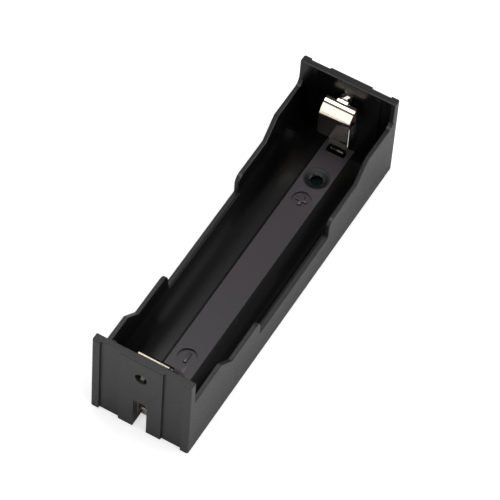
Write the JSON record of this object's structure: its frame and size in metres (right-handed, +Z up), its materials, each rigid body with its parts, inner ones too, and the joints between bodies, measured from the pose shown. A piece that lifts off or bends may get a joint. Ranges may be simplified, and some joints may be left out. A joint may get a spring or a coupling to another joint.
{
  "type": "cylindrical cell holder",
  "caption": "Open moulded trough that holds a round 18650 lithium cell end to end between folded spring contacts and screws down to a flat surface.",
  "frame": {"origin": "middle of the footprint, on the underside of the housing", "axes": "+X across the trough, +Y along the cell towards its positive end, +Z up out of the open top"},
  "size_m": [0.0208, 0.0774, 0.021],
  "materials": {
    "black_plastic": "moulded black ABS, satin outside and glossy inside the trough",
    "nickel_plate": "bright nickel plate on spring steel"
  },
  "bodies": {
    "root": {"housing": "black_plastic", "positive_contact": "nickel_plate", "negative_contact": "nickel_plate"}
  },
  "joints": []
}
